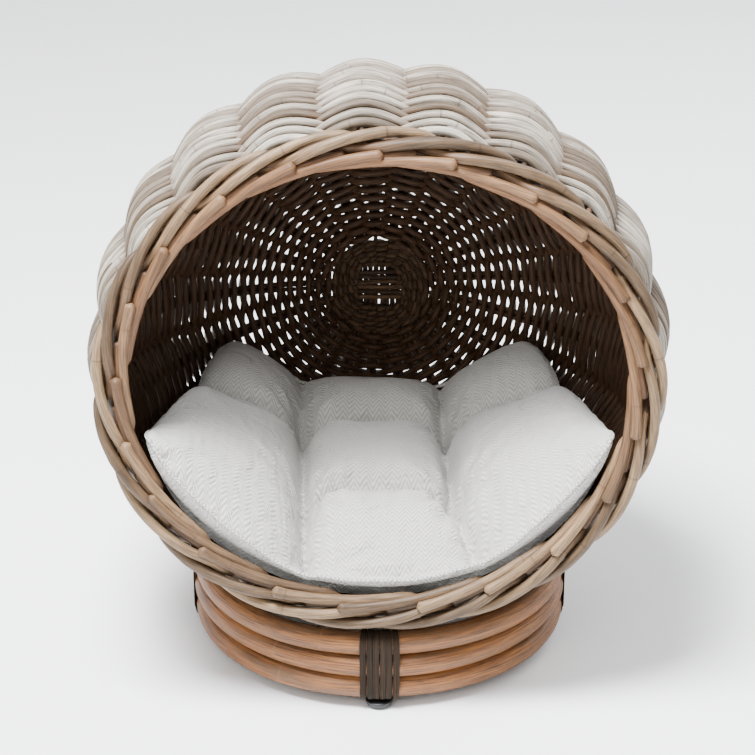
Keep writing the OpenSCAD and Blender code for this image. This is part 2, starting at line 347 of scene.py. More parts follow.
def pairing_rounds():
    """Two rods that twine round the centre: radius grows by one pitch each round, from a rounded square
    to a circle, and the two swing in opposite ways over and under each pair of stakes."""
    rounds, points = 5.2, 460
    first_r, last_r = 0.0190, hub_r + 0.001
    turn = np.linspace(0, rounds * 2 * np.pi, points)[None]
    grown = turn / (rounds * 2 * np.pi)
    r = first_r + (last_r - first_r) * grown
    square = (np.abs(np.cos(turn)) ** 5 + np.abs(np.sin(turn)) ** 5) ** (-1 / 5)
    r = r * (1 + (square - 1) * 0.9 * (1 - grown))
    phase = np.array([0, np.pi])[:, None]
    swing = np.cos(stake_count * turn / 2 + phase)
    out = 0.0046 * swing
    r = r + 0.0009 * np.sin(stake_count * turn / 2 + phase)
    depth = -(wall_back + out) * np.sqrt(1 - (r / half_h) ** 2)
    path = in_world(r * np.cos(turn), r * np.sin(turn), depth)
    radius = np.full(out.shape, pairing_r)
    rings = sweep(path, radius, np.broadcast_to(-axis, path.shape), 7)
    length = np.broadcast_to(np.cumsum(r[:1], axis=1) * rounds * 2 * np.pi / points, out.shape)
    return rings, length


pairing_rings, pairing_length = pairing_rounds()
pairing = rod_mesh("slath_pairing_rounds", pairing_rings, pairing_length, np.array([0.3, 0.7]))
pairing.data.materials.append(raw_wicker)
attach(pairing, "basket")
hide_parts("slath_pairing")


# ---------------------------------------------------------------------------------------------
# Stakes: three thinner rods held together by the weaving, one outside and two inside. The middle
# rod reaches in to the woven centre, and the two beside it are pushed in where there is room.
# ---------------------------------------------------------------------------------------------
stake_r = 0.0026
stake_points = 46
stake_sides = 8


def stake_rods(turn):
    """Three rods along one line of the wall, their spacing across it narrowing towards the centre."""
    from_centre = 0.026 / hub_r * hub_share
    starts = np.array([hub_share * 1.08, hub_share * 1.12, from_centre])[:, None]
    s = starts + (1.0 - starts) * np.linspace(0, 1, stake_points)[None]
    aside = np.array([-0.00265, 0.00265, 0.0])[:, None]
    out = np.array([-0.0014, -0.0014, 0.0029])[:, None] * np.clip((s - hub_share) / hub_share, 0, 1)
    reach = np.maximum(half_h * np.sin(np.minimum(s * math.acos(-wall_end / half_h), 2.1)), 0.01)
    sway = 0.0005 * np.sin(s * 19 + rng.uniform(0, 6, (3, 1)))
    path = wall(s, turn + (aside + sway) / reach, out)
    radius = stake_r * rng.uniform(0.93, 1.05, (3, 1)) * np.clip(0.72 + (s - starts) * 1.6, 0.7, 1)
    length = np.broadcast_to((s - starts) * 0.45, s.shape)
    return sweep(path, radius, wall_normal(s, turn), stake_sides), length


for number in range(1, stake_count + 1):
    rings, length = stake_rods(first_stake - (number - 1) * interval)
    stake = rod_mesh(f"stake_rods_{number:02d}", rings, length, rng.uniform(0, 1, 3))
    stake.data.materials.append(raw_wicker)
    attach(stake, "basket")
    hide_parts(f"stake_{number:02d}")


# ---------------------------------------------------------------------------------------------
# Woven wall: 86 rows of round wicker rod in plain randing. The stakes are odd in number, so one rod
# that goes outside a stake passes inside it on the next round. Each rod is a metre or so long. At a
# stake the rod outside and the rod inside are beaten together, which leaves a slit beside them.
# ---------------------------------------------------------------------------------------------
# Its inner colour 49321F is the unwashed inner face darkened further with painted shade.
washed_wicker = wicker("grey_washed_wicker", ("574736", "83786A", "B0A899"), "49321F", "32251A",
                       0.163, 0.62)

row_count = 86
samples = 10                       # points between two stakes
weave_sides = 9
band_count = 7
wall_arc = 0.425                   # length of the wall from the woven centre to the border


def row_share(row):
    """Where a row lies between the woven centre and the border, from 0 to 1. The rows are 4.6 mm apart
    at the back and 5.6 mm apart near the mouth, as a straight line plus a small power of the row."""
    q = row / row_count
    return 0.93 * q + 0.07 * q ** 3


def weave_rows(first, last, seed):
    """Rods of the spiral between two rows. A rod's angle keeps growing and its row is angle / 360
    degrees. It swings in and out as a cosine with a crest at every second stake, and also along the
    wall with the same beat, so that rows close up in pairs at the stakes. Between stakes it sags."""
    local = np.random.default_rng(seed)
    round_steps = stake_count * samples
    total = int((last - first) * round_steps)
    cuts = [0]
    while cuts[-1] < total:
        cuts.append(cuts[-1] + samples * int(local.integers(12, 26)))
    starts = np.array(cuts[:-1])
    steps = np.minimum(np.diff(cuts), total - starts) + samples // 2
    rods, points = len(starts), samples * 26
    taper = np.linspace(0, 1, points)[None]
    total_turn = first * 2 * np.pi + (starts[:, None] + taper * steps[:, None]) * 2 * np.pi / round_steps
    row = np.minimum(total_turn / (2 * np.pi), row_count - 0.3)
    share = row_share(row)
    pitch = (row_share(row + 0.5) - row_share(row - 0.5)) * wall_arc
    beat = stake_count * total_turn / 2
    swing = np.sign(np.cos(beat)) * np.abs(np.cos(beat)) ** 0.88
    loose = 1 - 0.5 * np.exp(-share / 0.06)
    shake = local.uniform(0, 6, (4, rods, 1))
    drift = 0.00035 * (np.sin(total_turn * 2.3 + shake[0]) + np.sin(total_turn * 5.9 + shake[1]))
    roof = np.clip(np.sin(first_stake - total_turn), 0, 1)
    close = pitch * (0.11 + 0.19 * share) * local.uniform(0.3, 1.35, (rods, 1)) * (1 - 0.85 * roof)
    radius = (0.00294 + 0.00045 * share + 0.0004 * roof) * local.uniform(0.93, 1.08, (rods, 1))
    radius = radius * (1 + 0.05 * np.sin(taper * 8 + shake[2]))
    end = np.exp(-np.minimum(taper, 1 - taper) * points / 2.5)
    sag = 0.0016 * np.sin(beat) ** 2
    out = (0.0113 - radius) * loose * swing * local.uniform(0.95, 1.0, (rods, 1)) - sag - 0.003 * end
    slide = (close * swing + drift) / wall_arc
    s = hub_share + (1 - hub_share) * np.clip(share + slide, 0, 0.9965)
    turn = first_stake - total_turn
    path = wall(s, turn, out)
    rings = sweep(path, radius, wall_normal(s, turn), weave_sides)
    length = run_length(path)
    # shade: painted shade on the side of each rod that faces into the basket and on the runs behind the
    # stakes, over the inner face's own unwashed tone.
    angle = np.arange(weave_sides) * 2 * np.pi / weave_sides
    depth = out[..., None] + radius[..., None] * np.cos(angle)
    return rings, length, local.uniform(0, 1, rods), np.clip(0.62 - depth / 0.005, 0, 1)


for number in range(1, band_count + 1):
    first_row = round(row_count * (number - 1) / band_count)
    last_row = round(row_count * number / band_count)
    band = rod_mesh(f"weave_rows_{number}", *weave_rows(first_row, last_row, 100 + number))
    band.data.materials.append(washed_wicker)
    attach(band, "basket")
    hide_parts(f"weave_band_{number}")


# ---------------------------------------------------------------------------------------------
# Rolled border: 21 thick wicker rods over 21 thinner ones. Each rises at its stake, comes up inside
# the rim, winds outwards over the top, down the outer side and back underneath. It ends on top in a
# cut tip, and the next stroke comes out below that tip.
# ---------------------------------------------------------------------------------------------
# Its inner colour, a warm tan, is mostly painted shade for the side of the rim turned from the sky light,
# and partly the rods' less weathered side.
border_wicker = wicker("border_wicker", ("3F3022", "6E5840", "947A5C"), "7A5334", "2E2116", 0.127, 0.5)

mouth_half_w, mouth_half_h = 0.216, 0.195
border_points, border_sides = 120, 14
first_tip = math.radians(89.8)
lead = 0.35                        # stakes passed while a rod rises from its own stake
over_top, underneath, at_tail = 0.0122, 0.040, 0.0072      # metres round the oval for each stake


def border_rods(across_rim, above_rim, rod_r, shift, ends_on_top):
    """Each rod is a helix on the rim, whose section is an oval. For each stake passed the rod moves 12 mm
    over the top, 40 mm underneath and 7 mm on the inner half of the top, where it ends. The turn is read
    back from a running sum of arc length over speed. It starts at the oval's centre, below a tip."""
    oval = np.linspace(-0.30, 5.93, 600)
    step = np.hypot(across_rim * np.cos(oval), above_rim * np.sin(oval)) * (oval[1] - oval[0])
    speed = np.where(oval < 2.1, over_top, np.where(oval < 4.45, underneath, at_tail))
    speed = np.convolve(np.pad(speed, 20, mode="edge"), np.ones(41) / 41, mode="valid")
    passed = np.cumsum(step / speed)
    passed -= passed[0]
    wound = passed[-1]
    q = np.linspace(-lead, wound, border_points)[None]
    phi = np.interp(q, passed, oval)
    rise = np.clip((q + 0.10) / 0.60, 0, 1)
    reach = rise * rise * (3 - 2 * rise)
    low = -0.0128 * np.clip(-q / lead, 0, 1)
    shake = rng.uniform(-1, 1, (4, stake_count, 1))
    to_tip = wound - q
    lift = 0.0011 * np.exp(-(to_tip / 0.5) ** 2) * ends_on_top - 0.0018 * np.exp(-((q - 0.25) / 0.3) ** 2)
    over = reach * across_rim * np.sin(phi) + 0.0008 * shake[0] * np.sin(q * 1.9 + shake[1] * 3)
    wobble = 0.0006 * shake[1] * np.sin(q * 2.3 + shake[0] * 3)
    above = reach * above_rim * np.cos(phi) + low + lift + wobble
    tip = first_tip - (np.arange(stake_count)[:, None] + shift) * interval
    turn = tip + to_tip * interval + 0.10 * interval * shake[2] * np.clip(q / wound, 0, 1) ** 2
    path = in_world((mouth_half_w + over) * np.cos(turn), (mouth_half_h + over) * np.sin(turn),
                    mouth_depth + above)
    cut_end = np.sqrt(np.clip(1 - np.clip(1 - to_tip / 0.05, 0, 1) ** 2.4, 0.04, 1))
    swell = 0.13 * np.exp(-(to_tip / 0.14) ** 2) + 0.07 * np.exp(-((to_tip - 2.4 - shake[3]) / 0.05) ** 2)
    radius = rod_r * (1 + 0.06 * shake[2]) * (1 + swell * ends_on_top) * cut_end
    facing = np.cos(phi)[..., None] * axis + np.sin(phi)[..., None] * (
        np.cos(turn)[..., None] * across + np.sin(turn)[..., None] * upward)
    rings = sweep(path, radius, facing, border_sides)
    # brown: the inner side of the rim, most over the top of the mouth, takes the warm tan of the inner
    # colour. This is mostly painted shade, the side turned from the sky light, and partly the less weathered
    # side.
    brown = np.clip(0.30 - over / 0.020, 0, 1) * (0.55 + 0.45 * np.sin(turn))
    length = run_length(path)
    return rings, length, rng.uniform(0, 1, stake_count), brown[..., None] + np.zeros(border_sides)


over_rods = border_rods(across_rim=0.0120, above_rim=0.0080, rod_r=0.0043, shift=0.0, ends_on_top=1)
under_rods = border_rods(across_rim=0.0088, above_rim=0.0044, rod_r=0.0036, shift=0.5, ends_on_top=0)
under_rods[2][:] = 0               # the darkest tint: painted shade, as they lie in the gaps
border = rod_mesh("border_rods", *(np.concatenate(pair) for pair in zip(over_rods, under_rods)))
border.data.materials.append(border_wicker)
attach(border, "basket")
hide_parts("border")


# ---------------------------------------------------------------------------------------------
# Base ring: three thick rattan poles, peeled, steamed and bent, stacked and nailed. Rattan has long
# straight fibres, open pores that hold dirt, and a low ridge where each leaf sheath was cut away.
# ---------------------------------------------------------------------------------------------
def peeled_rattan():
    """Peach-tan pole with 1 mm fibres along it, short dark pores, smoky patches and a line at knuckles."""
    material, tree, shader = new_material("peeled_rattan", {"Roughness": 0.5, "Specular IOR Level": 0.4})
    around, length, _ = rod_coordinates(tree, 11.0)
    fibre_at = add(tree, "ShaderNodeVectorMath", {0: around, 1: (26.0, 9.0, 9.0)}, operation="MULTIPLY")
    fibre = add(tree, "ShaderNodeTexNoise", {"Vector": fibre_at.outputs[0], "Scale": 1.0, "Detail": 7.0,
                                             "Roughness": 0.7}).outputs["Fac"]
    pore_at = add(tree, "ShaderNodeVectorMath", {0: around, 1: (110.0, 22.0, 22.0)}, operation="MULTIPLY")
    pore = add(tree, "ShaderNodeTexNoise", {"Vector": pore_at.outputs[0], "Scale": 1.0, "Detail": 2.0}
               ).outputs["Fac"]
    smoke_at = add(tree, "ShaderNodeVectorMath", {0: around, 1: (9.0, 0.9, 0.9)}, operation="MULTIPLY")
    smoke = add(tree, "ShaderNodeTexNoise", {"Vector": smoke_at.outputs[0], "Scale": 1.0, "Detail": 5.0,
                                             "Roughness": 0.6, "Distortion": 0.4}).outputs["Fac"]
    ramp = add(tree, "ShaderNodeValToRGB", {0: fibre})
    ramp.color_ramp.elements[0].position = 0.36
    ramp.color_ramp.elements[0].color = to_linear("381E0B")
    ramp.color_ramp.elements[1].position = 0.62
    ramp.color_ramp.elements[1].color = to_linear("945E2B")
    ramp.color_ramp.elements.new(0.49).color = to_linear("744A27")
    grey = add(tree, "ShaderNodeMapRange", {0: smoke, 1: 0.48, 2: 0.66, 3: 0.0, 4: 0.75}).outputs[0]
    smoky = add(tree, "ShaderNodeMix", {0: grey, 6: ramp.outputs[0], 7: to_linear("5E452E")},
                data_type="RGBA").outputs[2]
    spots = add(tree, "ShaderNodeMapRange", {0: pore, 1: 0.63, 2: 0.74, 3: 0.0, 4: 0.7}).outputs[0]
    pored = add(tree, "ShaderNodeMix", {0: spots, 6: smoky, 7: to_linear("2C1A0F")},
                data_type="RGBA").outputs[2]
    cycle = add(tree, "ShaderNodeMath", {0: length, 1: 0.231}, operation="MODULO").outputs[0]
    knuckle = add(tree, "ShaderNodeMapRange", {0: cycle, 1: 0.0, 2: 0.003, 3: 0.7, 4: 0.0}).outputs[0]
    marked = add(tree, "ShaderNodeMix", {0: knuckle, 6: pored, 7: to_linear("7A5638")},
                 data_type="RGBA").outputs[2]
    tree.links.new(marked, shader.inputs["Base Color"])
    height = add(tree, "ShaderNodeMath", {0: fibre, 1: spots}, operation="SUBTRACT").outputs[0]
    bump = add(tree, "ShaderNodeBump", {"Height": height, "Strength": 0.7, "Distance": 0.0009})
    tree.links.new(bump.outputs[0], shader.inputs["Normal"])
    return material


rattan = peeled_rattan()
pole_r = (ring_hi[2] - ring_lo[2]) / 2
ring_r = ring_hi[0] - pole_r
pole_points, pole_sides = 420, 28


def bent_pole(name, node, seed):
    """A ring of round pole. Its radius swells by a few hundredths in slow waves, with a low ridge at each
    knuckle, and its two ends meet at the back, a hair apart."""
    local = np.random.default_rng(seed)
    lo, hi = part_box(node)
    height = (lo[2] + hi[2]) / 2
    t = np.linspace(0, 1, pole_points)[None]
    turn = np.pi / 2 + 0.004 + t * (2 * np.pi - 0.008)
    waves = sum(local.uniform(0.001, 0.006) * np.sin(turn * n + local.uniform(0, 6)) for n in (2, 3, 5, 9))
    knuckles = local.uniform(0, 2 * np.pi, 4)[:, None, None]
    ridge = np.exp(-((np.angle(np.exp(1j * (turn - knuckles)))) / 0.012) ** 2).sum(axis=0)
    radius = pole_r * (0.992 + waves + 0.03 * ridge)
    reach = ring_r + 0.0006 * np.sin(turn * 4 + local.uniform(0, 6))
    path = np.stack([reach * np.cos(turn), ring_centre[1] + reach * np.sin(turn),
                     height + 0.0003 * np.sin(turn * 3 + local.uniform(0, 6))], -1)
    facing = np.stack([np.cos(turn), np.sin(turn), 0 * turn], -1)
    rings = sweep(path, radius, facing, pole_sides)
    pole = rod_mesh(name, rings, (turn - np.pi / 2) * ring_r, np.array([local.uniform(0, 1)]))
    pole.data.materials.append(rattan)
    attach(pole, "basket")
    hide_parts(node)


for level, node in enumerate(("pole_lower", "pole_middle", "pole_upper")):
    bent_pole(f"rattan_{node}", node, 40 + level)


# ---------------------------------------------------------------------------------------------
# Bindings: flat strips split from the cane's skin, wetted and wound six times round all three
# poles at four places, pulled tight so that they dry hard and straight.
# ---------------------------------------------------------------------------------------------
def split_cane():
    """Flat grey-brown cane: fibres run along the strip, with dark lines between."""
    material, tree, shader = new_material("split_cane", {"Roughness": 0.72, "Specular IOR Level": 0.15})
    uv = add(tree, "ShaderNodeUVMap", uv_map="strip").outputs["UV"]
    tint = add(tree, "ShaderNodeAttribute", attribute_name="tint").outputs["Fac"]
    split = add(tree, "ShaderNodeSeparateXYZ", {0: uv})
    lifted = add(tree, "ShaderNodeMath", {0: tint, 1: 5.0}, operation="MULTIPLY").outputs[0]
    at = add(tree, "ShaderNodeCombineXYZ", {0: split.outputs[0], 1: split.outputs[1], 2: lifted}).outputs[0]
    fibre_at = add(tree, "ShaderNodeVectorMath", {0: at, 1: (22.0, 1500.0, 1.0)}, operation="MULTIPLY")
    fibre = add(tree, "ShaderNodeTexNoise", {"Vector": fibre_at.outputs[0], "Scale": 1.0, "Detail": 5.0,
                                             "Roughness": 0.7}).outputs["Fac"]
    ramp = add(tree, "ShaderNodeValToRGB", {0: fibre})
    ramp.color_ramp.elements[0].position = 0.32
    ramp.color_ramp.elements[0].color = to_linear("0F0B07")
    ramp.color_ramp.elements[1].position = 0.7
    ramp.color_ramp.elements[1].color = to_linear("34271A")
    toned = add(tree, "ShaderNodeMapRange", {0: tint, 3: 0.75, 4: 1.12}).outputs[0]
    mixed = add(tree, "ShaderNodeMix", {0: 1.0, 6: ramp.outputs[0], 7: toned}, data_type="RGBA",
                blend_type="MULTIPLY").outputs[2]
    tree.links.new(mixed, shader.inputs["Base Color"])
    bump = add(tree, "ShaderNodeBump", {"Height": fibre, "Strength": 0.6, "Distance": 0.0005})
    tree.links.new(bump.outputs[0], shader.inputs["Normal"])
    return material


cane = split_cane()
strip_count = 6
strip_w, strip_t = 0.0049, 0.0014


def loop_mesh(name, grid, uv, tint):
    """A mesh closed both ways from a grid of shape (loops, points, sides, 3), as a band or a ring is."""
    loops, points, sides = grid.shape[:3]
    index = np.arange(loops * points * sides).reshape(loops, points, sides)
    next_point = np.roll(index, -1, axis=1)
    quads = np.stack([index, next_point, np.roll(next_point, -1, axis=2), np.roll(index, -1, axis=2)], -1)
    mesh = bpy.data.meshes.new(name)
    mesh.from_pydata(grid.reshape(-1, 3).tolist(), [], quads.reshape(-1, 4).tolist())
    mesh.polygons.foreach_set("use_smooth", np.ones(len(mesh.polygons), dtype=bool))
    layer = mesh.uv_layers.new(name="strip")
    layer.data.foreach_set("uv", uv.reshape(-1, 2)[quads.ravel()].reshape(-1).astype(np.float32))
    values = np.broadcast_to(tint[:, None, None], grid.shape[:3]).reshape(-1)
    mesh.attributes.new("tint", "FLOAT", "POINT").data.foreach_set("value", values.astype(np.float32))
    mesh.update()
    piece = bpy.data.objects.new(name, mesh)
    bpy.context.collection.objects.link(piece)
    return piece


def cane_binding(name, node, turn, seed):
    """Strips side by side, each a long loop: half a circle round the lowest pole, straight up, half a
    circle over the highest, and straight down. Across, a strip is a flat oval, crowned outwards."""
    local = np.random.default_rng(seed)
    low = ring_lo[2] + pole_r
    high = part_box("pole_upper")[0][2] + pole_r
    bend = np.linspace(-np.pi, 0, 24)
    side = np.linspace(0, 1, 16, endpoint=False)[1:]
    reach = pole_r + strip_t * 0.62
    x = np.concatenate([reach * np.cos(bend), np.full(15, reach), reach * np.cos(bend + np.pi),
                        np.full(15, -reach)])
    z = np.concatenate([low + reach * np.sin(bend), low + (high - low) * side,
                        high + reach * np.sin(bend + np.pi), high - (high - low) * side])
    normal_x = np.concatenate([np.cos(bend), np.ones(15), np.cos(bend + np.pi), -np.ones(15)])
    normal_z = np.concatenate([np.sin(bend), np.zeros(15), np.sin(bend + np.pi), np.zeros(15)])
    k = np.arange(strip_count)[:, None, None]
    profile = np.linspace(0, 2 * np.pi, 12, endpoint=False)
    wide = np.sign(np.cos(profile)) * np.abs(np.cos(profile)) ** 0.6 * strip_w / 2
    thick = np.sign(np.sin(profile)) * np.abs(np.sin(profile)) ** 0.8 * strip_t / 2
    lean = local.uniform(-0.0006, 0.0006, (strip_count, 1, 1))
    phase = local.uniform(0, 6, (strip_count, 1, 1))
    wave = 0.00025 * np.sin(np.arange(len(x))[None, :, None] * 0.12 + phase)
    along = (k - (strip_count - 1) / 2) * strip_w * 1.03 + wide[None, None] * 0.98 + lean + wave
    lift = local.uniform(-0.0001, 0.00025, (strip_count, 1, 1))
    off = thick[None, None] + lift
    radial = ring_r + x[None, :, None] + off * normal_x[None, :, None]
    up = z[None, :, None] + off * normal_z[None, :, None]
    theta = turn + along / ring_r
    grid = np.stack([radial * np.cos(theta), ring_centre[1] + radial * np.sin(theta), up + 0 * theta], -1)
    run = np.concatenate([[0], np.cumsum(np.hypot(np.diff(x), np.diff(z)))])
    uv = np.stack([np.broadcast_to(run[None, :, None], grid.shape[:3]),
                   np.broadcast_to(wide[None, None], grid.shape[:3]) + k * 0.05], -1)
    binding = loop_mesh(name, grid[:, :, ::-1], uv[:, :, ::-1], local.uniform(0, 1, strip_count))
    binding.data.materials.append(cane)
    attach(binding, "basket")
    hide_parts(node)


for side_name, degrees in (("front", -90), ("right", 0), ("back", 90), ("left", 180)):
    cane_binding(f"cane_{side_name}", f"binding_{side_name}", math.radians(degrees), 60 + degrees % 7)


# ---------------------------------------------------------------------------------------------
# Glides: domed feet of black polythene, pressed over a nail under each binding. Moulded plastic is
# smooth and slightly glossy where it is new and scuffed on the tread. The nails are bright wire.
# ---------------------------------------------------------------------------------------------
black_plastic, plastic_tree, plastic_shader = new_material(
    "moulded_polythene", {"Base Color": to_linear("141414"), "IOR": 1.51})
scuff_at = add(plastic_tree, "ShaderNodeTexCoord").outputs["Object"]
scuff = add(plastic_tree, "ShaderNodeTexNoise", {"Vector": scuff_at, "Scale": 900.0, "Detail": 3.0})
scuff_range = add(plastic_tree, "ShaderNodeMapRange", {0: scuff.outputs["Fac"], 3: 0.3, 4: 0.55})
plastic_tree.links.new(scuff_range.outputs[0], plastic_shader.inputs["Roughness"])


def domed_glide(name, node):
    """A lathe shape: a flat tread, a quarter-round flank, a straight rim and a flat top."""
    lo, hi = (np.array(corner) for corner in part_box(node))
    centre = (lo + hi) / 2
    big = (hi[0] - lo[0]) / 2
    tall = hi[2] - lo[2]
    flank = np.linspace(0, np.pi / 2, 12)
    tread = big * 0.55
    pole_gap = 0.0002
    r = np.concatenate([[pole_gap, tread * 0.7], tread + (big - tread) * np.sin(flank),
                        [big, big * 0.96, pole_gap]])
    z = np.concatenate([[0, 0], tall * 0.75 * (1 - np.cos(flank)), [tall * 0.92, tall, tall]])
    theta = np.linspace(0, 2 * np.pi, 40, endpoint=False)
    grid = np.stack([centre[0] + r[None, :, None] * np.cos(theta)[None, None],
                     centre[1] + r[None, :, None] * np.sin(theta)[None, None],
                     lo[2] + z[None, :, None] + 0 * theta[None, None]], -1)
    rings = grid[:, ::-1]
    glide = rod_mesh(name, rings, np.broadcast_to(z[None], (1, len(z))), np.zeros(1))
    glide.data.materials.append(black_plastic)
    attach(glide, "basket")
    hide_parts(node)


for side_name in ("front", "right", "back", "left"):
    domed_glide(f"foot_glide_{side_name}", f"glide_{side_name}")

nail_wire, nail_tree, nail_shader = new_material(
    "drawn_wire", {"Base Color": to_linear("B8B8B4"), "Metallic": 1.0})
draw_at = add(nail_tree, "ShaderNodeTexCoord").outputs["Object"]
draw_scale = add(nail_tree, "ShaderNodeVectorMath", {0: draw_at, 1: (4000.0, 4000.0, 60.0)},
                 operation="MULTIPLY")
draw_marks = add(nail_tree, "ShaderNodeTexNoise", {"Vector": draw_scale.outputs[0], "Scale": 1.0})
draw_range = add(nail_tree, "ShaderNodeMapRange", {0: draw_marks.outputs["Fac"], 3: 0.25, 4: 0.5})
nail_tree.links.new(draw_range.outputs[0], nail_shader.inputs["Roughness"])
for material_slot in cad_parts["glide_nails"].material_slots:
    material_slot.material = nail_wire


# ---------------------------------------------------------------------------------------------
# Cushion: a square pad of heavy cotton herringbone, sewn with a side panel and stuffed with fibre.
# Threads pull it in at four points, so that it stands in nine lobes. It lies loose in the bowl, its
# corners turned up by the wall. A cloth simulation under pressure gives the fabric its slackness.
# ---------------------------------------------------------------------------------------------
pad_lo, pad_hi = (np.array(corner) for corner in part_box("cushion_cover"))
pad_y = (pad_lo[1] + pad_hi[1]) / 2
pad_half_w, pad_half_d = 0.181, 0.1490
pad_plump = 0.007                  # how far the lobes stand above the pad's own crown
pad_top = 0.172
pad_clear = 0.0137                 # the pad's distance from the middle of the stakes
rim_clear = 0.0185                 # and from the middle of the border
pad_inset = 0.0035                 # how much smaller the pad starts, before it is inflated
most_puff = 0.009                  # how far the cloth may move
proud = 0.009                      # and how far it may stand above the pad's own crown
seam_share = 0.957                 # where the side panel begins, as a share of the plan
tufts = np.array([[-0.067, 0.060], [0.058, 0.060], [-0.066, -0.068], [0.064, -0.066]])


def inside_wall(x, y, z, clear):
    """True where a point is inside the wall by the given distance: the ellipse test at the point's own
    depth along the basket's axis."""
    point = np.stack([x, y, z], -1) - basket_centre
    up, a = point @ upward, np.minimum(point @ axis, mouth_depth)
    behind = a < 0
    back_share = np.sqrt(np.clip(1 - (a / (wall_back - clear)) ** 2, 1e-6, 1))
    wide = np.where(behind, back_share, np.sqrt(1 - (a / (flare - clear)) ** 2))
    tall = np.where(behind, back_share, np.sqrt(1 - (a / (half_h - clear)) ** 2))
    return (x / ((half_w - clear) * wide)) ** 2 + (up / ((half_h - clear) * tall)) ** 2 < 1


def bowl_height(x, y, clear):
    """Height at which a plumb line meets the bowl, found by halving the interval twenty times."""
    low, high = np.full(x.shape, 0.02), np.full(x.shape, 0.262)
    for _ in range(20):
        middle = (low + high) / 2
        inside = inside_wall(x, y, middle, clear)
        low, high = np.where(inside, low, middle), np.where(inside, middle, high)
    return high


def pad_crown(x, y):
    """Height of the pad's top over its lobes. It curls up as the square of x, dips at the front edge and
    rises a little behind. y is measured from the pad's middle."""
    side = (x / 0.190) ** 2
    front = np.clip((-y - 0.050) / 0.096, 0, 1) ** 1.5
    back = np.maximum((y - 0.040) / 0.105, 0) ** 2
    return pad_top + 0.084 * side - 0.057 * front * np.clip(1 - side, 0, 1) + 0.012 * back


def valley(distance, width):
    """1 on a crease, falling to 0 at width, as the gap between two round lobes that touch there."""
    t = 1 - np.clip(np.abs(distance) / width, 0, 1)
    return 1 - np.sqrt(1 - t * t)


def crease_lines(x, y):
    """Distances from the four creases: left and right ones from front to back, one across behind and a
    short one across in front. The first two spread a little towards the front edge."""
    front = np.clip((0.16 - y) / 0.3, 0, 1)
    open_front = np.clip((-y - 0.07) / 0.07, 0, 1)
    left_line = x + 0.072 - 0.010 * front
    right_line = x - 0.056 - 0.008 * front - 0.022 * open_front
    back_line = y - 0.058 - 0.012 * np.cos(x / 0.042)
    front_line = y + 0.067 - 0.008 * np.cos(x / 0.045)
    return left_line, right_line, back_line, front_line


def creases(x, y):
    """Depth of the creases below the crown, joined as a power mean, with a pit at each tuft."""
    left_line, right_line, back_line, front_line = crease_lines(x, y)
    middle = np.exp(-(x / 0.085) ** 6)
    deep = 1 - 0.45 * np.clip((y - 0.08) / 0.06, 0, 1)
    depths = np.stack([0.046 * deep * valley(left_line, 0.058), 0.044 * deep * valley(right_line, 0.058),
                       (0.032 + 0.002 * middle) * valley(back_line, 0.048),
                       (0.001 + 0.022 * middle) * valley(front_line, 0.044)])
    depth = (depths ** 3).sum(axis=0) ** (1 / 3)
    for tuft_x, tuft_y in tufts:
        depth = depth + 0.014 * np.exp(-(np.hypot(x - tuft_x, y - tuft_y) / 0.017) ** 2)
    return depth


def gathers(x, y):
    """Fine pleats where the threads pull the cloth in: ridges that cross each crease, 15 mm apart and
    fading 30 mm from it, and nine rays round each tuft."""
    lines = crease_lines(x, y)
    along = (y, y, x, x)
    middle = np.exp(-(x / 0.085) ** 6)
    strength = (0.0019, 0.0018, 0.0014, 0.0015 * middle)
    pull = np.zeros(x.shape)
    for number in range(4):
        beat = along[number] / 0.0024 + 1.9 * np.sin(along[number] / 0.021 + number)
        pull = pull + strength[number] * np.sin(beat) * np.exp(-(lines[number] / 0.021) ** 2)
    for number, (tuft_x, tuft_y) in enumerate(tufts):
        away = np.hypot(x - tuft_x, y - tuft_y)
        bearing = np.arctan2(y - tuft_y, x - tuft_x)
        pull = pull + 0.0026 * np.sin(bearing * 9 + number) * np.exp(-((away - 0.026) / 0.016) ** 2)
    return pull


def pad_plan(r, turn):
    """A square with rounded corners, wider in front: a superellipse, worked out by
    bearing so that its points lie evenly, whose width falls with y."""
    rho = r * (np.abs(np.cos(turn)) ** 12.5 + np.abs(np.sin(turn)) ** 12.5) ** -0.08
    u, v = rho * np.cos(turn), rho * np.sin(turn)
    return u * (pad_half_w - 0.029 * v - 0.010 * v * v), v * (pad_half_d - 0.0045 * v)


def edge_share(x, y):
    """How far out in plan a point is, from 0 at the pad's middle to 1 at its edge."""
    v = y / (pad_half_d - 0.0045 * y / pad_half_d)
    u = x / (pad_half_w - 0.029 * v - 0.010 * v * v)
    return (np.abs(u) ** 12.5 + np.abs(v) ** 12.5) ** 0.08


def pad_surface(inset):
    """Rings from the middle of the top, over the edge, to the middle underneath. Half the thickness
    falls away as the square root of one less a high power of the radius, which leaves a box edge."""
    level = np.linspace(1, -1, 91)[1:-1, None]
    turn = (np.arange(240)[None] + 0.5) * 2 * np.pi / 240
    r = 1 - np.abs(level)
    x, y = pad_plan(r * (1 - inset / 0.15), turn)
    low = bowl_height(x, y + pad_y, pad_clear) + inset
    plump = pad_plump * (1 - np.clip((-y - 0.095) / 0.045, 0, 1) * (1 - np.abs(x) / 0.19))
    high = np.maximum(pad_crown(x, y) + plump - inset - creases(x, y), low + 0.012)
    half = np.maximum((high - low) / 2, 0.002) * np.sqrt(1 - r ** 10)
    return np.stack([x, y + pad_y, (high + low) / 2 + np.sign(level) * half], -1)


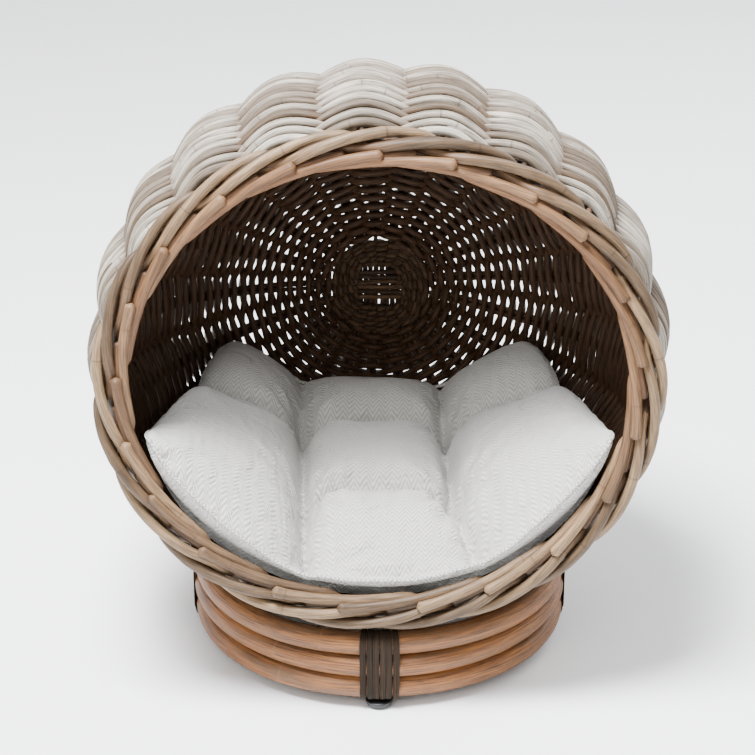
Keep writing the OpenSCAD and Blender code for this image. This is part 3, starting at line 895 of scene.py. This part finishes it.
def ring_mesh(name, rings):
    """A closed mesh from rings of points, with a flat cap on the first and the last."""
    count, sides = rings.shape[:2]
    index = np.arange(count * sides).reshape(count, sides)
    turned = np.roll(index, -1, axis=1)
    quads = np.stack([index[:-1], index[1:], turned[1:], turned[:-1]], -1).reshape(-1, 4)
    mesh = bpy.data.meshes.new(name)
    mesh.from_pydata(rings.reshape(-1, 3).tolist(), [],
                     quads.tolist() + [index[0].tolist(), index[-1, ::-1].tolist()])
    mesh.update()
    piece = bpy.data.objects.new(name, mesh)
    bpy.context.collection.objects.link(piece)
    return piece


def points_of(mesh):
    """A mesh's points as an array."""
    flat = np.empty(len(mesh.vertices) * 3, dtype=np.float32)
    mesh.vertices.foreach_get("co", flat)
    return flat.reshape(-1, 3).astype(float)


def evaluated(piece):
    """A copy of a piece's mesh with its modifiers applied."""
    bpy.context.view_layer.update()
    return bpy.data.meshes.new_from_object(piece.evaluated_get(bpy.context.evaluated_depsgraph_get()))


cushion = ring_mesh("tufted_cushion", pad_surface(pad_inset))
remesh = cushion.modifiers.new("remesh", "REMESH")
remesh.mode = "VOXEL"
remesh.voxel_size = 0.004
cushion.data = evaluated(cushion)
cushion.modifiers.clear()
cushion.data.name = "tufted_cushion"

settled = points_of(cushion.data)
away = np.min(np.hypot(settled[:, None, 0] - tufts[None, :, 0],
                       settled[:, None, 1] - pad_y - tufts[None, :, 1]), axis=1)
crease_depth = creases(settled[:, 0], settled[:, 1] - pad_y)
hold = np.clip(np.maximum(1.35 - away / 0.014, crease_depth / 0.016 - 0.75), 0, 1)
group = cushion.vertex_groups.new(name="held")
for weight in (0.25, 0.5, 0.75, 1.0):
    chosen = np.nonzero((hold > weight - 0.25) & (hold <= weight))[0]
    group.add(chosen.tolist(), weight, "REPLACE")
cloth = cushion.modifiers.new("cloth", "CLOTH")
cloth.settings.vertex_group_mass = "held"
cloth.settings.use_pressure = True
cloth.settings.uniform_pressure_force = 4.0
cloth.settings.effector_weights.gravity = 0
cloth.settings.quality = 5
cloth.settings.mass = 0.3
cloth.settings.tension_stiffness = 12
cloth.settings.compression_stiffness = 12
cloth.settings.bending_stiffness = 0.25
for moment in range(1, 21):
    bpy.context.scene.frame_set(moment)
pressed = points_of(evaluated(cushion))
cushion.modifiers.clear()
cushion.vertex_groups.clear()
bpy.context.scene.frame_set(1)
move = pressed - settled
distance = np.linalg.norm(move, axis=1, keepdims=True)
settled = settled + move * np.minimum(1, most_puff / np.maximum(distance, 1e-9))


def fit_in_basket(point):
    """Moves points back where they would touch the basket: towards its axis until they are inside the
    wall, and inside the border's oval where they reach it. None rises far above the crown."""
    x, y, z = point.T
    y0 = y - pad_y
    z = np.minimum(z, pad_crown(x, y0) + proud)
    z = np.maximum(z, np.minimum(bowl_height(x, y, pad_clear - 0.0005), pad_crown(x, y0)))
    local = np.stack([x, y, z], -1) - basket_centre
    up, a = local @ upward, local @ axis
    reach = np.hypot(x / (mouth_half_w - rim_clear), up / (mouth_half_h - rim_clear))
    near_border = np.clip((a - 0.088) / 0.022, 0, 1)
    shrink = 1 - near_border * (1 - 1 / np.maximum(reach, 1))
    return in_world(x * shrink, up * shrink, a)


def pinch(x, y):
    """A narrow V below each crease, where the two lobes press together: it falls off as an exponential of
    the distance, and is deepest at the left crease near the front edge, where the cloth folds shut."""
    left_line, right_line, back_line, front_line = crease_lines(x, y)
    inner = 1 - 0.6 * np.clip((edge_share(x, y) - 0.86) / 0.1, 0, 1)
    middle = np.exp(-(x / 0.080) ** 6)
    fold = np.exp(-((y + 0.105) / 0.05) ** 2)
    left = (0.011 + 0.022 * fold) * np.exp(-np.abs(left_line) / 0.006)
    right = 0.013 * np.exp(-np.abs(right_line) / 0.006)
    behind = (0.008 + 0.003 * middle) * np.exp(-np.abs(back_line) / 0.006)
    before = 0.009 * middle * np.exp(-np.abs(front_line) / 0.006)
    return inner * np.maximum.reduce([left, right, behind, before])


plan_x, plan_y = settled[:, 0], settled[:, 1] - pad_y
lobe_height = pad_crown(plan_x, plan_y) - creases(plan_x, plan_y)
on_top = settled[:, 2] > (lobe_height + bowl_height(plan_x, settled[:, 1], pad_clear)) / 2
settled[:, 2] += (gathers(plan_x, plan_y) - pinch(plan_x, plan_y)) * on_top
settled = fit_in_basket(settled)
cushion.data.vertices.foreach_set("co", settled.reshape(-1).astype(np.float32))
cushion.data.polygons.foreach_set("use_smooth", np.ones(len(cushion.data.polygons), dtype=bool))
cushion.data.update()


def cotton_uv(mesh):
    """Cloth coordinates in metres. The top and bottom panels use the plan, with x as the length along the
    curl; the side panel uses the length round the edge and the height."""
    corner = np.empty(len(mesh.loops), dtype=np.int32)
    mesh.loops.foreach_get("vertex_index", corner)
    starts = np.empty(len(mesh.polygons), dtype=np.int32)
    sizes = np.empty(len(mesh.polygons), dtype=np.int32)
    mesh.polygons.foreach_get("loop_start", starts)
    mesh.polygons.foreach_get("loop_total", sizes)
    point = points_of(mesh)
    middle = np.add.reduceat(point[corner], starts) / sizes[:, None]
    side = np.repeat(edge_share(middle[:, 0], middle[:, 1] - pad_y) > seam_share, sizes)
    x, y, z = point[corner].T
    y = y - pad_y
    curled = x * (1 + (x * 4.65) ** 2 / 6)
    bearing = np.arctan2(y / pad_half_d, x / pad_half_w)
    quarter = np.round(bearing / (np.pi / 2))
    along = np.where(np.abs(np.sin(quarter * np.pi / 2)) > 0.5, x, y)
    uv = np.where(side[:, None], np.stack([along + 0.37, z + 0.11], -1), np.stack([curled, y], -1))
    mesh.uv_layers.new(name="cloth").data.foreach_set("uv", uv.reshape(-1).astype(np.float32))


cotton_uv(cushion.data)


column_w, rib_gap = 0.011, 0.0034


def herringbone_cotton(name, rib_shade_share):
    """Bleached cotton, woven in herringbone: columns 11 mm wide, whose diagonal ribs turn at each column and
    catch the light softly; that light and shade is painted into the colour as grey stripes, as well as
    raised in the bump. Real ribs are 2.5 mm apart, drawn at 3.4 mm so that they show. Broad faint creasing
    and a short nap lie over them."""
    material, tree, shader = new_material(name, {"Roughness": 0.92, "IOR": 1.45, "Sheen Weight": 0.25,
                                                 "Sheen Roughness": 0.5})
    uv = add(tree, "ShaderNodeUVMap", uv_map="cloth").outputs["UV"]
    place = add(tree, "ShaderNodeTexCoord").outputs["Object"]
    split = add(tree, "ShaderNodeSeparateXYZ", {0: uv})
    zigzag = add(tree, "ShaderNodeMath", {0: split.outputs[0], 1: column_w / 2},
                 operation="PINGPONG").outputs[0]
    slant = add(tree, "ShaderNodeMath", {0: split.outputs[1], 1: zigzag}).outputs[0]
    turns = add(tree, "ShaderNodeMath", {0: slant, 1: 2 * math.pi / rib_gap},
                operation="MULTIPLY").outputs[0]
    rib = add(tree, "ShaderNodeMath", {0: turns}, operation="SINE").outputs[0]
    slub = add(tree, "ShaderNodeTexNoise", {"Vector": place, "Scale": 420.0, "Detail": 3.0}).outputs["Fac"]
    broad = add(tree, "ShaderNodeTexNoise", {"Vector": place, "Scale": 14.0, "Detail": 4.0}).outputs["Fac"]
    fold = add(tree, "ShaderNodeTexNoise", {"Vector": place, "Scale": 46.0, "Detail": 5.0, "Roughness": 0.55,
                                            "Distortion": 0.9}).outputs["Fac"]
    # Painted shade: each rib's light and shade are drawn into the colour as grey stripes.
    painted_rib_shade = add(tree, "ShaderNodeMapRange", {0: rib, 1: -1.0, 2: 1.0, 3: 0.0, 4: rib_shade_share}).outputs[0]
    toned = add(tree, "ShaderNodeMix", {0: painted_rib_shade, 6: to_linear("CBC9C3"), 7: to_linear("8B8780")},
                data_type="RGBA").outputs[2]
    faint = add(tree, "ShaderNodeMapRange", {0: broad, 1: 0.35, 2: 0.7, 3: 1.0, 4: 0.93}).outputs[0]
    final = add(tree, "ShaderNodeMix", {0: 1.0, 6: toned, 7: faint}, data_type="RGBA",
                blend_type="MULTIPLY").outputs[2]
    tree.links.new(final, shader.inputs["Base Color"])
    ribs = add(tree, "ShaderNodeMath", {0: rib, 1: 0.5}, operation="MULTIPLY").outputs[0]
    thread = add(tree, "ShaderNodeMath", {0: ribs, 1: slub}).outputs[0]
    weave_bump = add(tree, "ShaderNodeBump", {"Height": thread, "Strength": 0.7, "Distance": 0.0007})
    crumple = add(tree, "ShaderNodeBump", {"Height": fold, "Strength": 0.6, "Distance": 0.009,
                                           "Normal": weave_bump.outputs[0]})
    tree.links.new(crumple.outputs[0], shader.inputs["Normal"])
    return material


cushion.data.materials.append(herringbone_cotton("herringbone_cotton", 0.55))
soften = cushion.modifiers.new("soften", "SUBSURF")
soften.levels = soften.render_levels = 1
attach(cushion, "cushion")
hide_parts("cushion_cover", "cushion_fill", "cushion_ties")


def seam_path():
    """A line round the pad where its top panel is sewn to the side panel: at each bearing, the point of
    the cloth that is furthest out and up, with out counted two and a half times, then a running mean."""
    x, y = settled[:, 0], settled[:, 1] - pad_y
    out = edge_share(x, y) * 0.165
    score = settled[:, 2] + 2.5 * out
    bearing = np.arctan2(y / pad_half_d, x / pad_half_w)
    window = 0.015
    near = []
    for direction in np.linspace(-np.pi, np.pi, 420, endpoint=False):
        off = np.abs(np.angle(np.exp(1j * (bearing - direction))))
        near.append(settled[np.argmax(np.where(off < window, score, -1))])
    near = np.array(near)
    wrapped = np.concatenate([near[-2:], near, near[:2]])
    return np.stack([np.convolve(wrapped[:, i], np.ones(5) / 5, mode="valid") for i in range(3)], -1)


def welt(path, thick):
    """A round cord of stitched seam allowance along a closed path, half sunk in the cloth."""
    along = np.roll(path, -1, axis=0) - np.roll(path, 1, axis=0)
    along /= np.linalg.norm(along, axis=-1, keepdims=True)
    side = np.cross(along, np.array([0, 0, 1.0]))
    side /= np.linalg.norm(side, axis=-1, keepdims=True)
    angle = np.arange(8) * 2 * np.pi / 8
    ring = (np.cos(angle)[None, :, None] * np.cross(side, along)[:, None]
            + np.sin(angle)[None, :, None] * side[:, None])
    return path[:, None] + thick * ring


upper_seam = seam_path()
seam_grid = welt(upper_seam, 0.0015)[None]
seam_length = np.concatenate([[0], np.cumsum(np.linalg.norm(np.diff(upper_seam, axis=0), axis=1))])
seam_uv = np.stack([np.broadcast_to(seam_length[None, :, None], seam_grid.shape[:3]),
                    np.broadcast_to(np.arange(8) / 8 * 0.007, seam_grid.shape[:3])], -1)
seam = loop_mesh("cushion_seam", seam_grid[:, :, ::-1], seam_uv[:, :, ::-1], np.zeros(1))
seam.data.uv_layers[0].name = "cloth"
seam.data.materials.append(herringbone_cotton("seam_cotton", 0.8))
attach(seam, "cushion")
